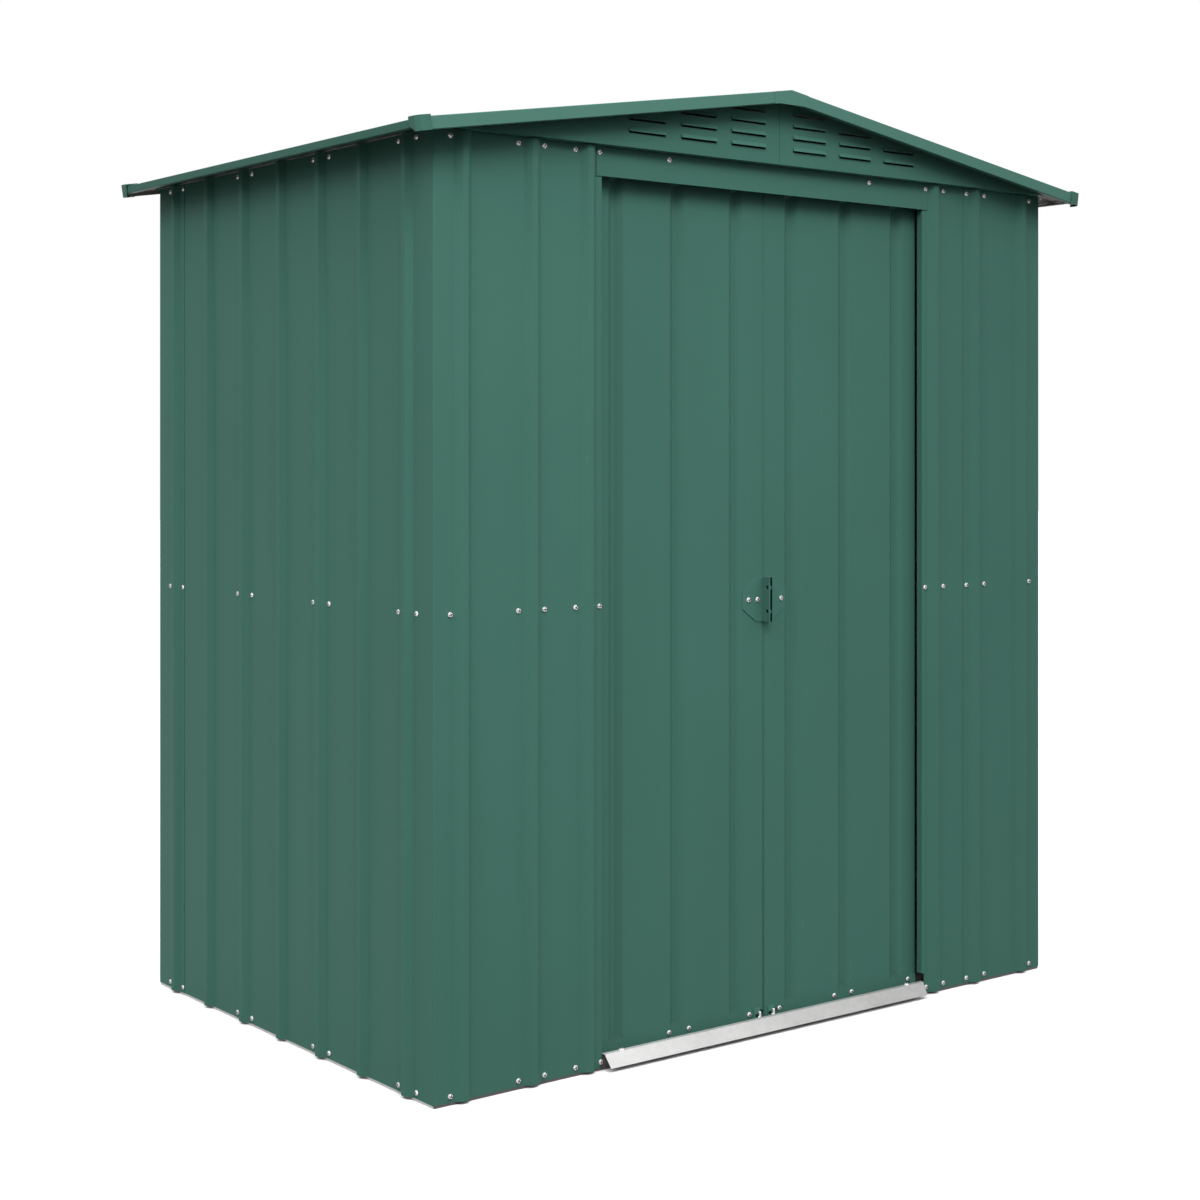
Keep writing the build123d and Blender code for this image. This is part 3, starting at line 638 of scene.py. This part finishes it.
def set_out(template, name, places, body):
    """Copies the template to each place, joins the copies and puts the piece on its body."""
    copies = []
    for point, side in places:
        copy = template.copy()
        copy.data = template.data.copy()
        turn = TURNS[side] if isinstance(side, str) else side
        spin = Matrix.Rotation(chance.uniform(0, pi / 2), 4, "Z")
        copy.matrix_world = Matrix.Translation(point) @ turn @ spin
        bpy.context.scene.collection.objects.link(copy)
        copies.append(copy)
    piece = join_pieces(copies)
    piece.name = name
    bpy.ops.object.transform_apply(location=True, rotation=True, scale=True)
    bpy.ops.object.shade_smooth_by_angle(angle=smooth_below)
    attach(piece, body)


screw_zinc = zinc_steel("screw_zinc", (0.86, 0.83, 0.84, 1.0), spangle_amount=0.15, metallic=0.35)
# Painted shade: the cross recess gets a dark pinkish brown
recess_painted_shade = zinc_steel("recess_painted_shade", (0.13, 0.08, 0.09, 1.0), spangle_amount=0.15, metallic=0.3)
screw_template = screw_head_piece("screw_template")
add_shank(screw_template)
screw_template.data.materials.append(screw_zinc)
screw_template.data.materials.append(recess_painted_shade)
# The faces of the sunk recess take the painted shade
for face in screw_template.data.polygons:
    in_recess = face.center.xy.length < recess_reach
    sunk = in_recess and screw_skirt < face.center.z < screw_crown - recess_margin
    face.material_index = 1 if sunk else 0

front_face = -0.556
back_face = 0.574
side_face = 0.8405
lap = 0.001
rows = (0.0165, 0.9035, 1.7865)
corner_column = 0.804
front_columns = (corner_column, 0.650, 0.515)
seam_column = 0.590
header_columns = (0.457, 0.281)
jamb_feet = (-0.4535, 0.4600)
front_places = []
for side in (-1, 1):
    for height in rows:
        front_places += [((side * across, front_face, height), "front") for across in front_columns]
        front_places.append(((side * seam_column, front_face - lap, height), "front"))
    front_places.append(((side * header_columns[0], front_face, rows[1]), "front"))
    front_places += [((side * across, front_face - lap, rows[2]), "front") for across in header_columns]
front_places += [((across, front_face, rows[0]), "front") for across in jamb_feet]
set_out(screw_template, "front_wall_screws", front_places, "shed")

ramp_columns = (-0.4035, 0.396)
ramp_middle_y = -0.5583
ramp_height = 0.032
ramp_places = [((across, ramp_middle_y, ramp_height), "up") for across in ramp_columns]
set_out(screw_template, "ramp_screws", ramp_places, "shed")

beside_seam = (-0.031, 0.031)
side_seams = (-0.4775, -0.159, 0.159, 0.4775)
side_columns = [seam + shift for seam in side_seams for shift in beside_seam]
for side_name, side in (("left", -1), ("right", 1)):
    side_places = [
        ((side * side_face, wall_middle_y + along, height), side_name)
        for height in rows
        for along in side_columns
    ]
    set_out(screw_template, f"{side_name}_wall_screws", side_places, "shed")

back_seam_pitch = 0.30875
back_seams = [back_seam_pitch * count for count in range(-2, 3)]
back_columns = [seam + shift for seam in back_seams for shift in beside_seam]
back_places = [
    ((across, back_face, height), "back")
    for height in rows
    for across in [-corner_column, *back_columns, corner_column]
]
set_out(screw_template, "back_wall_screws", back_places, "shed")

door_face = -0.5275
hasp_plate = 0.0015
hasp_row = 0.896
hasp_columns = {"left": (0.0188, 0.0438), "right": (0.0188, 0.0480)}
foot_row = 0.033
inner_columns = {"left": 0.0403, "right": 0.0448}
middle_columns = (0.205, 0.257)
outer_columns = {"left": 0.4400, "right": 0.4320}
for side_name, side in (("left", -1), ("right", 1)):
    door_columns = (inner_columns[side_name], *middle_columns, outer_columns[side_name])
    door_places = [((side * across, door_face, foot_row), "front") for across in door_columns]
    door_places += [
        ((side * across, door_face - hasp_plate, hasp_row), "front") for across in hasp_columns[side_name]
    ]
    set_out(screw_template, f"{side_name}_door_screws", door_places, f"{side_name}_door")

roof_slope = 0.16
crest_at_ridge = 1.94598
cap_over_crest = 0.0012
roof_rows = ((0.044, cap_over_crest), (0.455, 0.0), (0.875, 0.0))
rib_count = 8
rib_span = 1.066
roof_ribs = [rib_span * (count / (rib_count - 1) - 0.5) for count in range(rib_count)]
roof_places = []
for side in (-1, 1):
    tilt = Matrix.Rotation(side * atan(roof_slope), 4, "Y")
    for across, lift in roof_rows:
        height = crest_at_ridge + lift - roof_slope * across
        roof_places += [((side * across, rib, height), tilt) for rib in roof_ribs]
set_out(screw_template, "roof_screws", roof_places, "shed")

bpy.data.objects.remove(screw_template)


# Door edges: a narrow painted channel clipped over the turned edge of each leaf, from top to
# bottom, so that the two leaves meet in a fine line when they are shut
def add_box(name, lowest, highest):
    """A box between two corners, with its place in its mesh, to be shaped further."""
    bpy.ops.object.select_all(action="DESELECT")
    bpy.ops.mesh.primitive_cube_add(size=1.0)
    box = bpy.context.object
    box.name = name
    box.scale = [high - low for low, high in zip(lowest, highest)]
    box.location = [(high + low) / 2 for low, high in zip(lowest, highest)]
    bpy.ops.object.transform_apply(location=True, rotation=True, scale=True)
    return box


def round_edges(piece, width):
    bevel = piece.modifiers.new("rounded edges", "BEVEL")
    bevel.width = width
    bevel.segments = 2
    bpy.context.view_layer.objects.active = piece
    bpy.ops.object.modifier_apply(modifier=bevel.name)
    bpy.ops.object.shade_smooth_by_angle(angle=smooth_below)


def finish_piece(piece, material, body):
    piece.data.materials.clear()
    piece.data.materials.append(material)
    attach(piece, body)


leaf_bottom = 0.022
leaf_top = 1.774
leaf_edge = 0.0025
meeting_line = 0.0008
meeting_gap = 0.0003
channel_depth = 0.012
channel_wall = 0.0006
wall_share = 0.3
channel_spans = {
    "left": (-leaf_edge, meeting_line - meeting_gap),
    "right": (meeting_line + meeting_gap, leaf_edge),
}
for side_name, (near, far) in channel_spans.items():
    channel = add_box(
        f"{side_name}_door_edge",
        (near, door_face, leaf_bottom),
        (far, door_face + channel_depth, leaf_top),
    )
    edit(
        channel, "polygons", looks(y=1.0),
        inset(min(channel_wall, (far - near) * wall_share)),
        move(y=channel_wall - channel_depth),
    )
    round_edges(channel, width=0.0002)
    finish_piece(channel, door_paint, f"{side_name}_door")

# Header gap shade: a thin dark bead on the jambs, under both corners of the header and up its
# left end, as painted shadow in the gap where the header stands proud of the jambs
header_gap_shade = moulded("header_gap_shade", tint=(0.016, 0.045, 0.036, 1.0), gloss=0.6)
header_end = 0.464
header_inner = 0.449
header_foot = 1.7410
header_head = 1.7980
bead = 0.0018
bead_front = front_face - 0.0008
bead_spans = (
    (-header_end - bead, -header_end, header_foot - bead, header_head),
    (-header_end, -header_inner, header_foot - bead, header_foot),
    (header_inner, header_end, header_foot - bead, header_foot),
)
beads = []
for near, far, low, high in bead_spans:
    line = add_box("header_gap_shade", (near, bead_front, low), (far, front_face, high))
    round_edges(line, width=0.0003)
    beads.append(line)
finish_piece(join_pieces(beads), header_gap_shade, "shed")

# Door hooks: at the foot of each leaf, beside the seam, two near-black pads on the plastic clip,
# as painted shade in its holes, and a zinc plated strap that comes out by them and is bent down to the
# track
notch_painted_shade = moulded("notch_painted_shade", tint=(0.006, 0.006, 0.006, 1.0), gloss=0.7)
clip_front = door_face - 0.002
notch_shade_front = clip_front - 0.0008
notch_shade_rim = 0.0006
notch_shade_hollow = 0.0005
notch_shade_spans = {
    "left": ((-0.0242, -0.0183, 0.0262, 0.0314), (-0.0113, -0.0042, 0.0318, 0.0378)),
    "right": ((0.0126, 0.0196, 0.0262, 0.0314), (0.0278, 0.0348, 0.0285, 0.0355)),
}
strap_front = clip_front - 0.0022
strap_low, strap_high = 0.0345, 0.0360
strap_nose = 0.0015
strap_bend = 0.0010
nose_lean = 0.4
strap_drop = 0.0080
strap_toe = 0.0030
toe_reach = 0.0012
hook_width = 0.0030
hook_top = 0.0265
strap_spans = {"left": (-0.0165, -0.0115), "right": (0.0222, 0.0274)}
for side_name, spans in notch_shade_spans.items():
    notch_shades = []
    for near, far, low, high in spans:
        notch_shade = add_box(f"{side_name}_guide_notch_shade", (near, notch_shade_front, low), (far, door_face, high))
        edit(notch_shade, "polygons", looks(y=-1.0), inset(notch_shade_rim), move(y=notch_shade_hollow))
        round_edges(notch_shade, width=0.0002)
        notch_shades.append(notch_shade)
    finish_piece(join_pieces(notch_shades), notch_painted_shade, f"{side_name}_door")
    near, far = strap_spans[side_name]
    strap = add_box(
        f"{side_name}_guide_strap", (near, strap_front, strap_low), (far, clip_front, strap_high)
    )
    edit(strap, "polygons", looks(y=-1.0), extrude(y=-strap_nose, z=-strap_bend))
    edit(
        strap, "polygons", lambda face: face.normal.z < -nose_lean and face.center.y < strap_front,
        extrude(z=-strap_drop),
        extrude(y=-toe_reach, z=-strap_toe),
    )
    edit(
        strap, "polygons", lambda face: face.normal.x < -squarely and face.center.z < hook_top,
        extrude(x=-hook_width),
    )
    round_edges(strap, width=0.0003)
    finish_piece(strap, screw_zinc, f"{side_name}_door")
